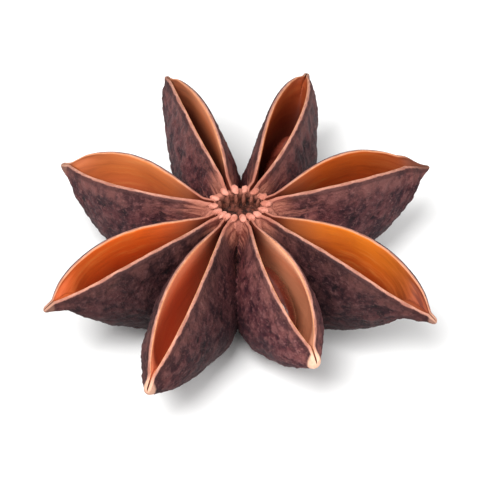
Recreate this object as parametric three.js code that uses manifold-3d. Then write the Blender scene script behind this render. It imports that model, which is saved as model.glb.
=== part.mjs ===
// Star anise pod, the dried fruit of Illicium verum: eight boat-shaped carpels fused round a short column.
// Each has split along its upper edge into two pale lips, and a glossy seed still lies in two of them.
// Millimetres, +Z up. The pod lies with its open side up, on its bellies and on the broken stalk, and the
// origin is the middle of the stalk's broken face, on the axis of the pod.
import * as THREE from "three";
import { mergeVertices } from "three/addons/utils/BufferGeometryUtils.js";
import Module from "manifold-3d";

const wasm = await Module();
wasm.setup();

// The column and its ring of lip ends
const RING_HEIGHT = 10.05; // top of the lips where they end round the sunken centre
const RING_RADIUS = 2.3; // from the axis to those ends
const ROOT_RADIUS = 1.3; // from the axis to a carpel's root
const ROOT_FALL = 1.6; // how far the lips fall from the ring to the root
const PIT_HEIGHT = 8.75; // floor of the sunken centre
const RIM_HEIGHT = 9.55; // crest of the rim round the sunken centre, which the lips run over
const RIM_RADIUS = 2.1;
const COLUMN_RADIUS = 2.8;
const COLUMN_FOOT = 1.8; // underside of the column
const STALK_RADIUS = 1.25;
const STALK_FLARE = 0.5; // what the stalk gains in radius where it joins the column

// One carpel's shell
const LIP = 0.5; // thickness of the wall at the lips
const LIP_CREST = 0.3; // how far the crest of a lip stands over its edges
const CREST_SHARE = 0.2; // how far across a lip its crest lies, from its inner edge
const WALL = 0.75; // thickness of the wall at the belly, or more where the hollow is narrower
const CUP_SHARE = 0.8; // share of the gap between the lips that the hollow keeps at its widest depth
const KEEL = 2.4; // thickness of the keel under the hollow
const SLIT = 0.07; // half the gap between lips that have stayed shut
const GAPE_POWER = 1.25; // how slowly the lips part beyond the ring
const DROP = 2.6; // how far the beaks lie under the ring
const ARCH_POWER = 1.15; // how far out the lips' arch has its crown
const SOLE = -0.6; // what the keels are lowered by, so that the bellies press flat on the ground
const HEEL = 1.0; // how far a keel rises towards the column
const KEEL_RISE = 2.3; // how late a keel turns up towards its beak
const BEAK_DEPTH = 0.6; // depth of the carpel at its very tip
const BEAK_HALF_WIDTH = 0.36;
const RIPPLE = 0.12; // how far the shrunken flanks swell and sink
const PRESS = 0.2; // how far two neighbours' bellies are pressed into each other
const EASE = 0.3; // how gently a wall gives way where it meets its neighbour's

// Each carpel, from the right-hand one round against the clock: azimuth, of the beak, and root, of where its
// lips end round the ring, in degrees; reach, from the axis to the beak; gape, the widest gap between its
// lips, at the share gapeAt of the opening's length; shut, the share of the carpel over which they stay
// closed beyond the ring; beak, the length over which they are pinched at the tip; spout, half the gap that
// they keep there; arch, how far the lips rise over the chord from ring to beak; bow, how far the carpel
// curves to its left; fullness, half the width of the belly; cup, how far the hollow widens under the lips;
// risen, the share of the carpel's length at which its keel has risen to the beak.
const CARPELS = [
  {
    azimuth: 24.2, root: 10, reach: 18.4, arch: 1.9, bow: -0.2, fullness: 2.9,
    gape: 3.3, gapeAt: 0.6, shut: 0.03, beak: 2.2, spout: 0.6, cup: 0.25, risen: 1,
  },
  {
    azimuth: 72.7, root: 61, reach: 20.5, arch: 1.6, bow: -0.5, fullness: 2.8,
    gape: 2.4, gapeAt: 0.55, shut: 0, beak: 0.8, spout: 0, cup: 0.9, risen: 1,
  },
  {
    azimuth: 109, root: 117, reach: 20.3, arch: 1.8, bow: -0.15, fullness: 2.6,
    gape: 1.6, gapeAt: 0.5, shut: 0.02, beak: 0.8, spout: 0, cup: 0.25, risen: 1,
  },
  {
    azimuth: 153.6, root: 178, reach: 17.6, arch: 1.4, bow: 0.5, fullness: 2.8,
    gape: 3.7, gapeAt: 0.6, shut: 0.03, beak: 1, spout: 0, cup: 0.25, risen: 1,
  },
  {
    azimuth: 211.2, root: 216, reach: 19.7, arch: 2.2, bow: 0.43, fullness: 2.7,
    gape: 3.25, gapeAt: 0.62, shut: 0.03, beak: 1, spout: 0, cup: 0.25, risen: 0.88,
  },
  {
    azimuth: 248.4, root: 243, reach: 21.3, arch: 2.2, bow: -0.2, fullness: 3.3,
    gape: 2.3, gapeAt: 0.58, shut: 0.03, beak: 1.2, spout: 0, cup: 0.25, risen: 1,
  },
  {
    azimuth: 291.7, root: 291, reach: 17.8, arch: 2.2, bow: -0.05, fullness: 3.3,
    gape: 2.6, gapeAt: 0.6, shut: 0.03, beak: 1.2, spout: 0, cup: 0.9, risen: 1,
  },
  {
    azimuth: 325.6, root: 328, reach: 20.5, arch: 2.6, bow: -0.28, fullness: 2.6,
    gape: 3.55, gapeAt: 0.62, shut: 0.03, beak: 0.8, spout: 0, cup: 0.25, risen: 0.85,
  },
];

// The seeds: which carpel each lies in, how far out from the axis its middle is and how far under the lips,
// and how far its top leans to the carpel's left, in degrees.
const SEED_LENGTH = 6.8;
const SEED_HEIGHT = 4.6;
const SEED_THICKNESS = 2.5;
const SEEDS = [
  { name: "seed_upper", carpel: 1, radius: 9.6, under: 4.7, lean: -6 },
  { name: "seed_lower", carpel: 6, radius: 8.8, under: 4.6, lean: -8 },
];

// How finely a carpel is cut
const STATIONS = 18; // cross-sections from root to beak
const WALL_STEPS = 6; // steps down each wall, from lip to keel
const WELD = 1e-4; // how near two points are that count as one

const smooth = (low, high, x) => THREE.MathUtils.smoothstep(x, low, high);
const DEGREE = Math.PI / 180;

// A hump that rises from 0 at t = 0, with the given power, to 1 at t = peak and falls to 0 at t = 1.
function hump(t, peak, power) {
  if (t <= 0 || t >= 1) return 0;
  return (t / peak) ** power * ((1 - t) / (1 - peak)) ** (power * (1 / peak - 1));
}

// Half the width of a wall at depth v, from 0 at the lip to 1 at the rounded keel, for a given half width at
// the lip and at the belly, which is two thirds of the way down.
function halfWidth(lip, belly, v) {
  return lip * (1 - v) ** 1.5 + belly * hump(v, 2 / 3, 1.1);
}

// Where the station at a given distance from the axis lies, and what its cross-section measures.
function sectionAt(carpel, radius) {
  const { reach, gape, gapeAt, shut, beak, spout, arch, fullness, risen } = carpel;
  const span = reach - RING_RADIUS;
  const out = Math.max((radius - RING_RADIUS) / span, 0); // 0 at the ring, 1 at the beak
  const rootFall = ROOT_FALL * (1 - smooth(ROOT_RADIUS - 0.8, RING_RADIUS, radius));
  const top = RING_HEIGHT + arch * Math.sin(Math.PI * out ** ARCH_POWER) - DROP * out - rootFall;
  const beakFoot = RING_HEIGHT - DROP - BEAK_DEPTH;
  const rise = (beakFoot - SOLE) * Math.min(out / risen, 1) ** KEEL_RISE;
  const foot = SOLE + HEEL * (1 - out) ** 6 + rise;
  const taper = Math.min(1, (radius - ROOT_RADIUS + 2) / 7) ** 0.7 * (1 - out ** 2.6);
  const belly = BEAK_HALF_WIDTH * 0.6 + (fullness - BEAK_HALF_WIDTH * 0.6) * taper;
  // The gap between the lips opens beyond the ring and shuts again at the beak, or narrows to a spout there.
  const along = (out - shut) / (1 - shut - beak / span);
  const opening = SLIT + (gape / 2 - SLIT) * hump(along, gapeAt, GAPE_POWER);
  const gap = out > gapeAt ? Math.max(opening, spout * Math.min(1, (reach - radius) / beak)) : opening;
  const lip = THREE.MathUtils.lerp(LIP, BEAK_HALF_WIDTH - SLIT, smooth(0.8, 1, out));
  const hollow = smooth(0.02, 0.3, out) * (1 - smooth(0.7, 1 - (0.5 * beak) / span, out));
  const shift = shiftAt(carpel, radius);
  return { radius, out, top, deep: top - foot, belly, gap, lip, hollow, shift };
}

// How far a carpel's middle plane has shifted to the left: it leaves the ring where its lips end and curves
// over to the azimuth of its beak.
function shiftAt({ azimuth, root, reach, bow }, radius) {
  const out = THREE.MathUtils.clamp((radius - RING_RADIUS) / (reach - RING_RADIUS), 0, 1);
  const leave = RING_RADIUS * Math.sin((root - azimuth) * DEGREE) * (1 - out);
  return leave + bow * Math.sin(Math.PI * out ** 0.7);
}

// The half width that a belly may have on one side, 1 for its left, before it meets the neighbour there.
function roomAt(carpel, radius, sign) {
  const neighbour = CARPELS[(CARPELS.indexOf(carpel) + sign + CARPELS.length) % CARPELS.length];
  const heading = (one) => one.azimuth * DEGREE + Math.atan2(shiftAt(one, radius), radius);
  const turn = sign * (heading(neighbour) - heading(carpel));
  return radius * Math.tan(THREE.MathUtils.euclideanModulo(turn, 2 * Math.PI) / 2) + PRESS;
}

// One closed cross-section: down the left outer wall, up the right one, over the right lip, down and up the
// hollow, and over the left lip.
function crossSection(carpel, share) {
  const station = sectionAt(carpel, THREE.MathUtils.lerp(ROOT_RADIUS, carpel.reach, share));
  const { radius, out, top, deep, belly, gap, lip, hollow, shift } = station;
  const hollowDepth = THREE.MathUtils.lerp(0.25, deep - KEEL * (1 - 0.6 * out), hollow);
  const depths = Array.from({ length: WALL_STEPS }, (_, i) => 1 - (1 - i / WALL_STEPS) ** 1.7);
  const cup = Math.max(Math.min(belly - WALL, CUP_SHARE * gap + carpel.cup), 0);
  const side = (sign, lipHalf, height, thickness) => {
    const room = roomAt(carpel, radius, sign) - thickness;
    const bellyHalf = thickness ? cup * hollow : belly;
    const ripple = thickness ? 0 : RIPPLE * (1 - out);
    return depths.map((v) => {
      const wave = Math.sin(1.3 * radius + 5 * v + sign * carpel.azimuth) * Math.sin(Math.PI * v);
      const free = halfWidth(lipHalf, bellyHalf, v) + ripple * wave;
      const half = (free + room - Math.hypot(free - room, EASE)) / 2;
      return new THREE.Vector3(radius, shift + sign * Math.max(half, SLIT), top - height * v);
    });
  };
  const foot = (height) => new THREE.Vector3(radius, shift, top - height);
  const crestHalf = gap + CREST_SHARE * lip;
  const crest = (sign) => new THREE.Vector3(radius, shift + sign * crestHalf, top + LIP_CREST);
  const wall = (lipHalf, height, thickness) => [
    ...side(1, lipHalf, height, thickness),
    foot(height),
    ...side(-1, lipHalf, height, thickness).reverse(),
  ];
  const outer = wall(gap + lip, deep, 0);
  const inner = wall(gap, hollowDepth, WALL);
  return [...outer, crest(-1), ...inner.reverse(), crest(1)];
}

// A closed skin over equal loops of points, with each end filled between its outer and its inner wall.
function skin(loops) {
  const size = loops[0].length;
  const wall = size / 2 - 1; // points in the outer wall, and in the inner one
  const faces = [];
  for (let i = 0; i < loops.length - 1; i += 1) {
    for (let j = 0; j < size; j += 1) {
      const a = i * size + j;
      const b = i * size + ((j + 1) % size);
      faces.push(a, b + size, b, a, a + size, b + size);
    }
  }
  const fillEnd = (start, flip) => {
    const add = (a, b, c) => faces.push(start + a, start + (flip ? c : b), start + (flip ? b : c));
    const facing = (j) => size - 2 - j; // the inner point across the wall from outer point j
    for (let j = 0; j < wall - 1; j += 1) {
      add(j, facing(j), j + 1);
      add(j + 1, facing(j), facing(j + 1));
    }
    add(size - 1, size - 2, 0);
    add(wall - 1, facing(wall - 1), wall);
  };
  fillEnd(0, true);
  fillEnd((loops.length - 1) * size, false);
  const geometry = new THREE.BufferGeometry().setFromPoints(loops.flat());
  geometry.setIndex(faces);
  return geometry;
}

function solidOf(geometry) {
  for (const name of ["normal", "uv"]) geometry.deleteAttribute(name);
  const merged = mergeVertices(geometry, WELD);
  return new wasm.Manifold(
    new wasm.Mesh({
      numProp: 3,
      vertProperties: merged.getAttribute("position").array,
      triVerts: new Uint32Array(merged.index.array),
    }),
  );
}

// The outer skin of a solid: where two bellies touch, the small pockets they seal between them are filled.
function outerSkin(solid) {
  const { vertProperties, triVerts } = solid.getMesh();
  const leader = Array.from({ length: vertProperties.length / 3 }, (_, i) => i);
  const find = (i) => {
    while (leader[i] !== i) {
      leader[i] = leader[leader[i]];
      i = leader[i];
    }
    return i;
  };
  for (let t = 0; t < triVerts.length; t += 3) {
    leader[find(triVerts[t + 1])] = find(triVerts[t]);
    leader[find(triVerts[t + 2])] = find(triVerts[t]);
  }
  const counts = new Map();
  for (const i of triVerts) counts.set(find(i), (counts.get(find(i)) ?? 0) + 1);
  const [outer] = [...counts.entries()].reduce((most, entry) => (entry[1] > most[1] ? entry : most));
  const geometry = new THREE.BufferGeometry();
  geometry.setAttribute("position", new THREE.BufferAttribute(vertProperties, 3));
  geometry.setIndex([...triVerts].filter((i) => find(i) === outer));
  geometry.computeVertexNormals();
  return geometry;
}

function carpelSolid(carpel) {
  const loops = Array.from({ length: STATIONS }, (_, i) => crossSection(carpel, i / (STATIONS - 1)));
  return solidOf(skin(loops).rotateZ(carpel.azimuth * DEGREE));
}

function columnSolid() {
  const profile = [
    [0, -1],
    [STALK_RADIUS, -1],
    [STALK_RADIUS, COLUMN_FOOT * 0.5],
    [STALK_RADIUS + STALK_FLARE, COLUMN_FOOT],
    [COLUMN_RADIUS, COLUMN_FOOT * 1.6],
    [COLUMN_RADIUS, RIM_HEIGHT - 1.4],
    [(RIM_RADIUS + COLUMN_RADIUS) / 2, RIM_HEIGHT - 0.35],
    [RIM_RADIUS, RIM_HEIGHT],
    [RIM_RADIUS - 0.35, RIM_HEIGHT - 0.3],
    [RIM_RADIUS - 0.6, PIT_HEIGHT],
    [0, PIT_HEIGHT - 0.2],
  ].map(([x, y]) => new THREE.Vector2(x, y));
  return solidOf(new THREE.LatheGeometry(profile, 24).rotateX(Math.PI / 2));
}

// The ground that the pod's bellies and its stalk lie flat on
const ground = solidOf(new THREE.BoxGeometry(60, 60, 4).translate(0, 0, -2));

const fused = CARPELS.map(carpelSolid).reduce((whole, carpel) => whole.add(carpel), columnSolid());

const pericarp = new THREE.MeshStandardMaterial({ color: 0x54352f, roughness: 0.85, metalness: 0 });
const pod = new THREE.Mesh(outerSkin(fused.subtract(ground)), pericarp);
pod.name = "pod";

const starAnise = new THREE.Group();
starAnise.add(pod);

// Each seed is a flattened bean standing on edge in its carpel's hollow.
const testa = new THREE.MeshStandardMaterial({ color: 0x7a3320, roughness: 0.3, metalness: 0 });
for (const { name, carpel, radius, under, lean } of SEEDS) {
  const { top, shift } = sectionAt(CARPELS[carpel], radius);
  const geometry = new THREE.SphereGeometry(1, 18, 12);
  geometry.rotateZ(Math.PI / 2).scale(SEED_LENGTH / 2, SEED_THICKNESS / 2, SEED_HEIGHT / 2);
  const seed = new THREE.Mesh(geometry, testa);
  seed.position.set(radius, shift, top - under);
  seed.rotation.x = -lean * DEGREE;
  seed.name = name;
  const place = new THREE.Group();
  place.rotation.z = CARPELS[carpel].azimuth * DEGREE;
  place.add(seed);
  starAnise.add(place);
}

export default starAnise;
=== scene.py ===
"""The looks of a dried star anise pod: its wrinkled skin, pale lips, glossy hollows and seeds.

The pod is rebuilt here from the dimensions of its CAD solid, far more finely. Each carpel is a closed
loft, and one Boolean union joins the carpels, the column and the beads round its sunken top into a
single skin. What the material needs to know of each place is kept in the skin's attributes, which are
called notes here. Lengths are in millimetres until a mesh is made, and in metres from there on.
"""

import math
from dataclasses import dataclass
from types import SimpleNamespace

import bpy
import numpy as np
from mathutils import Matrix, Vector, noise
from mathutils.kdtree import KDTree


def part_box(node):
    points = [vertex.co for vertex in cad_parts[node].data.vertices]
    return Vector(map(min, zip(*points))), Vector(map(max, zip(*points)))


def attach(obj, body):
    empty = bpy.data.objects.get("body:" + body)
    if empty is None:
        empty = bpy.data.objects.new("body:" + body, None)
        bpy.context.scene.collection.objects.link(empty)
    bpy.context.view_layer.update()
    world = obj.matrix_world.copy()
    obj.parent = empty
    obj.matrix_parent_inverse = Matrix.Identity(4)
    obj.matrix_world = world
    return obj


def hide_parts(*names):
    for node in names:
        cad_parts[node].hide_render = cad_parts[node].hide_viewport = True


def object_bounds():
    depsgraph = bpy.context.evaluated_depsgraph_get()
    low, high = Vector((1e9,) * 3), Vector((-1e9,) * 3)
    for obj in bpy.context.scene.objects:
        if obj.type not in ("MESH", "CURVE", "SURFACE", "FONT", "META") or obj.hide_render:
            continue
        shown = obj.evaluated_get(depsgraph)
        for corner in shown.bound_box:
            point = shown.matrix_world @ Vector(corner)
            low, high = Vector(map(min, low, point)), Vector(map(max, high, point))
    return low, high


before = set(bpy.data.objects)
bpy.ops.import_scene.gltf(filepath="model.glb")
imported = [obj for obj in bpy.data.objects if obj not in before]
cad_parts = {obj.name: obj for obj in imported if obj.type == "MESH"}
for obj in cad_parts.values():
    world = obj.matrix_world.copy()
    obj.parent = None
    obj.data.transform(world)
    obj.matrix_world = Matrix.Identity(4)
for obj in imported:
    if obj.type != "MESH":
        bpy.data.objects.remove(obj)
cad_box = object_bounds()

MM = 0.001

# The column and its ring of lip ends, as in the CAD
RING_HEIGHT = 10.05  # top of the lips where they end round the sunken centre
RING_RADIUS = 2.3  # from the axis to those ends
ROOT_RADIUS = 1.3  # from the axis to a carpel's root
ROOT_FALL = 1.6  # how far the lips fall from the ring to the root
PIT_HEIGHT = 8.75  # floor of the sunken centre
RIM_HEIGHT = 9.55  # crest of the rim round the sunken centre, which the lips run over
RIM_RADIUS = 2.1
COLUMN_RADIUS = 2.8
COLUMN_FOOT = 1.8  # underside of the column
STALK_RADIUS = 1.25
STALK_FLARE = 0.5  # what the stalk gains in radius where it joins the column

# One carpel's shell, as in the CAD. Shares of a carpel's length run from 0 at the ring to 1 at the beak.
LIP = 0.5  # thickness of the wall at the lips
LIP_NARROWS = 0.8  # share of the length from which the lips narrow to the beak
LIP_FADE = 1.5  # how soon the width between the lips is lost down a wall
WALL = 0.75  # thickness of the wall at the belly
KEEL = 2.4  # thickness of the keel under the hollow
KEEL_THINS = 0.6  # share of that which it loses towards the beak
KEEL_RISE = 2.3  # how late a keel turns up towards its beak
SLIT = 0.07  # half the gap between lips that have stayed shut
GAPE_POWER = 1.25  # how slowly the lips part beyond the ring
CUP_SHARE = 0.8  # share of the gap between the lips that the hollow keeps at its widest depth
HOLLOW_LEAST = 0.25  # depth of the groove where there is no hollow
HOLLOW_OPENS = (0.02, 0.3)  # shares of the length between which the hollow gets deep
HOLLOW_CLOSES = (0.7, 0.5)  # where it gets shallow, and how much of the beak it reaches into
DROP = 2.6  # how far the beaks lie under the ring
ARCH_POWER = 1.15  # how far out the lips' arch has its crown
SOLE = -0.6  # what the keels are lowered by, so that the bellies press flat on the ground
HEEL = 1.0  # how far a keel rises towards the column
HEEL_POWER = 6  # how close to the column it does
BEAK_DEPTH = 0.6  # depth of the carpel at its very tip
BEAK_HALF_WIDTH = 0.36
BEAK_BELLY = 0.6  # share of that which the belly has at the tip
BELLY_AT = 2 / 3  # how far down from lip to keel the belly is widest
BELLY_POWER = 1.1  # how slowly a wall swells out to it
BELLY_START, BELLY_FULL, BELLY_GROWTH = 2, 7, 0.7  # how the belly widens from the root on
BELLY_TAPER = 2.6  # how late it narrows towards the beak
CROWDING = 1.7  # how much closer the steps down a wall lie towards the keel
RIPPLE = 0.12  # how far the shrunken flanks swell and sink
RIPPLE_WAVES = (1.3, 5)  # radians of that wave for each millimetre outward, and from lip to keel
PRESS = 0.2  # how far two neighbours' bellies are pressed into each other
EASE = 0.3  # how gently a wall gives way where it meets its neighbour's

# The seeds, as in the CAD
SEED_LENGTH = 6.8
SEED_HEIGHT = 4.6
SEED_THICKNESS = 2.5
SEED_BLUNTNESS = 0.85  # how blunt its ends are: 1 for an ellipsoid, and less for a blunter one
SEED_TAPER = 0.1  # how much thicker it is at the end where it hung
SEED_SIDES = 0.9  # how flat its broad sides are: 1 for an ellipsoid
SEED_CURVE = 0.25  # how far its ends lie over its middle
SEED_BUMPS, SEED_BUMP_SIZE = 0.03, 1.6
NOTCH, NOTCH_WIDTH = 0.12, 0.3  # depth of the notch where it hung, and its width, in half sizes
HILUM_FROM = 0.35  # share of that depth from which the notch shows the pale scar

# Which carpel holds each seed, and how many degrees it leans to its left
SEEDS = {"seed_upper": (1, -6), "seed_lower": (6, -8)}

# What the looks add to the lips
LIP_CREST = 0.28  # height of their crests, which lie towards the hollow, so that the lips slope outward
# The points over a lip, as shares of its thickness, from outside to inside, and of its crest's height
LIP_SHARES = ((0.1, 0.3), (0.35, 0.62), (0.6, 0.88), (0.8, 1.0), (0.94, 0.85), (1.0, 0.45))
CREST_STEP = 3  # which of those is the crest
CREST_SINKS = (0.85, 0.7)  # share of the length from which the crest gets lower, and by what share
LIP_WOBBLE = 0.25  # share by which a lip is higher or lower here and there
WOBBLE_SIZE = 1.4
LIP_AT_RING = 0.34  # thickness of the lips where they end round the ring
LIP_SWELLS = 0.25  # share of the length over which they reach their full thickness
SLIT_AT_RING = 0.16  # half width of the slit between them there
SLIT_CLOSES = 0.2  # share of the length over which it closes

# What they add to the ring: under each bead, in which a lip ends, a rib runs down into the pit
RING_OVAL = (2.3, 1.8)  # half sizes of the oval that the beads lie on, along x and y
BEAD = (0.46, 0.30, 0.27)  # half sizes of a bead: outward, across and up
BEAD_RISE = 0.1  # how far the beads' middles stand over the lips
RIB = (0.22, 0.17, 0.80)  # half sizes of a rib
RIB_INSET = 0.40  # how far the ribs stand inside the beads
RIB_SINK = 0.3  # how far their middles lie under the rim
UNEVEN = 0.28  # share by which beads and ribs differ in size
UNEVEN_SEED = 1  # noise_vector shifts its noise by random numbers, which the clock would seed
BEAD_BUMPS, BEAD_BUMP_SIZE = 0.1, 0.5
RIM_SWELL = 0.4  # what the rim round the sunken centre stands higher than in the CAD
OVAL_DEPTHS = (2, 1)  # how far under the rim the round column starts to turn oval, and is fully so
BUMP_SIZE, ROUGH_SIZE = 0.75, 0.4  # of the column's bumps and of finer ones
PIT_BUMPS, PIT_ROUGH = 0.3, 0.08  # heights of both in the pit
SIDE_BUMPS, SIDE_ROUGH = 0.10, 0.04  # and on the column's side
SCAR_BUMPS = 0.12

# What they add to the beaks
KNOB = 0.30  # radius of the rounded end of a beak
KNOB_ARC = 0.46  # share of a half turn that its outline goes round
KNOB_SWELL = 0.05  # share by which the roundest beaks are thicker just before their end
KNOB_LENGTH = 0.45  # how far back from it they are
KNOB_MIDDLE = 0.3  # how far down from lip to keel lies the point that a beak shrinks to
POINT = 0.5  # share by which the sharpest beaks get thinner over their last POINT_LENGTH
POINT_LENGTH = 2.2

# What they add to the skin and the lining
SOLE_ROUNDING = 0.35  # how softly the bellies flatten on the ground
DENTS, DENT_SIZE = 0.20, 3.0  # depth of the broad dents of the skin, and how wide they are
FOLDS, FOLD_SIZE = 0.10, 0.95  # height of the wrinkles' ridges, and how far apart they are
FOLD_LEVEL = 0.5  # what of them lies under the smooth surface
RIDGE_FALL = 2.4  # how steeply the wrinkles fall from their ridges
CREASE_RISE, CREASE_DEPTH = 3.0, 0.2  # how steeply they rise from their creases, and where those lie
FOLD_SHARES = (0.45, 0.55)  # how much of the wrinkles is ridges and how much creases
FOLD_STRETCH = 0.62  # what lengths along a carpel are shortened by, so that its wrinkles run lengthwise
GRAINS, GRAIN_SIZE = 0.05, 0.45  # height of the grains of the skin, and how wide they are
GRAIN_STRETCH, DENT_STRETCH, SWELL_STRETCH = 0.8, 0.7, 0.5  # the same shortening for those
RIBS, RIB_SIZE = 0.10, 0.5  # height of the ribs that run out from the ring, and how far apart they are
RIB_STRETCH = 0.15
RIB_REACH = (7.5, 3.2)  # from where they fade in towards the ring, and where they are full
LINING_SWELL, LINING_SIZE = 0.05, 2.4  # height of the lining's faint swells, and how wide they are
WRINKLES_FROM = (0.3, 1.3)  # distances from a lip's crest over which the skin gets wrinkled
SWELLS_FROM = (0.4, 1.5)  # the same inside it for the lining's swells
SMOOTH_END = 1.5  # length over which both fade at the beak

# What the notes say
MOUTH_EXTRA = 0.5  # depths in a hollow are counted in gaps between its lips, widened by this
NEAR_SHADE, NEAR_DEPTHS = 0.35, (0.75, 1.15)  # a share of the dimness, and the depths that it comes over
FAR_SHADE, FAR_DEPTHS = 0.65, (1.7, 2.6)  # the rest, further down, but sooner in a gloomy carpel
NARROW_GAP = (1.2, 0.3)  # a hollow is dim where the gap is narrower than this
NARROW_OUT = (0.5, 0.3)  # and this near to the ring
PIT_EDGE = (0.2, 0.45)  # how far inside the ring the pit's colour starts and is full
END_REACH = ((1.5, 0.6), (0.7, 0.4))  # in beaks: where a dark beak starts and is full, less if pale

# Noise fields that are alike in size are set apart by these shifts
CARPEL_SHIFT = 17.0
STRAND_SHIFT = 3.0
CREASE_SHIFT, GRAIN_SHIFT, DENT_SHIFT, SWELL_SHIFT = 2, 5, 9, 3
COLUMN_SHIFT, COLUMN_FINE_SHIFT = 31, 37

# How finely the skin is cut
STATIONS = 84  # cross-sections from a carpel's root to its beak
KNOB_STATIONS = 6  # further ones round the end of the beak
OUTER_STEPS = 40  # steps down each outer wall
INNER_STEPS = 15  # steps down each inner wall
LIP_STEPS = len(LIP_SHARES)  # points over each lip
TURNS = 96  # steps round the column
COLUMN_STEP = 0.14  # length of the steps down it
BEAD_ROWS = 14
BEAD_TURNS = 18
SEED_ROWS = 56
SEED_TURNS = 72


@dataclass(frozen=True, kw_only=True)
class Carpel:
    """One carpel's dimensions, as in the CAD, and its looks, each from 0 to about 1."""

    azimuth: float  # direction of its beak, in degrees
    root: float  # direction in which its lips end round the ring
    reach: float  # from the axis to the beak
    arch: float  # how far the lips rise over the chord from ring to beak
    bow: float  # how far the carpel curves to its left
    fullness: float  # half the width of the belly
    gape: float  # the widest gap between its lips
    gape_at: float  # where that is, as a share of the opening's length
    shut: float = 0.03  # the share of its length over which the lips stay closed beyond the ring
    beak: float  # the length over which they are pinched at the tip
    spout: float = 0  # half the gap that they keep there
    cup: float = 0.25  # how far the hollow widens under the lips
    risen: float = 1  # the share of its length at which its keel has risen to the beak
    skin: float  # how light its skin is: partly its own tone, partly painted shade
    lining: float = 1.0  # how bright its lining is
    red: float  # how red that is
    dust: float = 0.0  # how far that is dusted with peach
    dusk: float  # how dark that gets towards the beak
    gloom: float  # how soon that gets dim further down, and less than 0 where it hardly does
    tip: float  # how pale and round its tip is


CARPELS = [
    Carpel(
        azimuth=24.2, root=10, reach=18.4, arch=1.9, bow=-0.2, fullness=2.9, gape=3.3, gape_at=0.6,
        beak=2.2, spout=0.6,
        skin=0.52, lining=0.58, red=0.5, dusk=0.8, gloom=0.3, tip=0.0,
    ),
    Carpel(
        azimuth=72.7, root=61, reach=20.5, arch=1.6, bow=-0.5, fullness=2.8, gape=2.4, gape_at=0.55,
        shut=0, beak=0.8, cup=0.9,
        skin=0.5, lining=0.5, red=0.6, dust=0.05, dusk=0.4, gloom=0.6, tip=0.3,
    ),
    Carpel(
        azimuth=109, root=117, reach=20.3, arch=1.8, bow=-0.15, fullness=2.6, gape=1.6, gape_at=0.5,
        shut=0.02, beak=0.8,
        skin=0.6, lining=0.75, red=0.1, dust=0.7, dusk=0.85, gloom=0.4, tip=0.1,
    ),
    Carpel(
        azimuth=153.6, root=178, reach=17.6, arch=1.4, bow=0.5, fullness=2.8, gape=3.7, gape_at=0.6,
        beak=1,
        skin=0.5, lining=0.75, red=0.15, dust=0.2, dusk=0.7, gloom=0.3, tip=0.3,
    ),
    Carpel(
        azimuth=211.2, root=216, reach=19.7, arch=2.2, bow=0.43, fullness=2.7, gape=3.25, gape_at=0.62,
        beak=1, risen=0.88,
        skin=0.22, red=0.6, dusk=0.6, gloom=0.1, tip=0.3,
    ),
    Carpel(
        azimuth=248.4, root=243, reach=21.3, arch=2.2, bow=-0.2, fullness=3.3, gape=2.3, gape_at=0.58,
        beak=1.2,
        skin=0.32, red=0.7, dust=0.5, dusk=0.3, gloom=-1.0, tip=0.75,
    ),
    Carpel(
        azimuth=291.7, root=291, reach=17.8, arch=2.2, bow=-0.05, fullness=3.3, gape=2.6, gape_at=0.6,
        beak=1.2, cup=0.9,
        skin=0.72, red=0.2, dust=1.2, dusk=0.6, gloom=-0.7, tip=1.0,
    ),
    Carpel(
        azimuth=325.6, root=328, reach=20.5, arch=2.6, bow=-0.28, fullness=2.6, gape=3.55, gape_at=0.62,
        beak=0.8, risen=0.85,
        skin=0.25, red=0.0, dusk=1.0, gloom=0.2, tip=0.4,
    ),
]

# The notes of the column and, where they are the same, of the beads and ribs
CORE_NOTES = {
    "rim": 0.1,  # distance from the crest of the lip, positive outside
    "strand": 70.0,  # which streaks run over it
    "out": 0.0,  # share of the carpel's length
    "dim": 0.0,  # how dim the hollow is
    "skin": 0.5,  # from here to the tip, the carpel's looks
    "lining": 0.3,
    "red": 0.0,
    "dust": 0.0,
    "dusk": 0.0,
    "tip": 0.0,
    "end": 0.0,  # how far the carpel has turned into its beak
    "pit": 0.0,  # whether the place is in the sunken centre
    "scar": 0.0,  # whether it is on the scar of the stalk
    "bead": 0.0,  # whether it is on a bead
    "relief": 0.0,  # how high it stands among the wrinkles
}


# ---- Small functions ----


def smooth(low, high, x):
    """0 below low, 1 above high, and an S-curve between them."""
    t = np.clip((x - low) / (high - low), 0, 1)
    return t * t * (3 - 2 * t)


def hump(t, peak, power):
    """Rises from 0 at t = 0 to 1 at t = peak and falls to 0 at t = 1."""
    t = np.clip(t, 0, 1)
    return (t / peak) ** power * ((1 - t) / (1 - peak)) ** (power * (1 / peak - 1))


def bell(x, width):
    """1 at x = 0, falling to about a third at x = width."""
    return np.exp(-((x / width) ** 2))


def noise_field(points, size, octaves=1, stretch=1.0, shift=0.0):
    """Smooth noise from about -1 to 1 at each point, with features of the given size.

    They are longer along x where the stretch is below 1.
    """
    scaled = (points * (stretch, 1, 1) / size + shift).reshape(-1, 3).tolist()
    values = [noise.fractal(point, 1.0, 2.0, octaves) for point in scaled]
    return np.array(values).reshape(points.shape[:-1])


def line_noise(x, size, shift):
    """The same along one line."""
    points = np.stack([x, np.full_like(x, shift), np.full_like(x, 0.5 * shift)], -1)
    return noise_field(points, size, octaves=2)


def turn_matrix(degrees):
    """Turns points about the pod's axis."""
    return np.array(Matrix.Rotation(math.radians(degrees), 3, "Z")).T


def spread(notes, points):
    """The notes with a value for each point."""
    return {name: np.broadcast_to(value, points.shape[:-1]) for name, value in notes.items()}


# ---- The carpels' form ----


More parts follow.
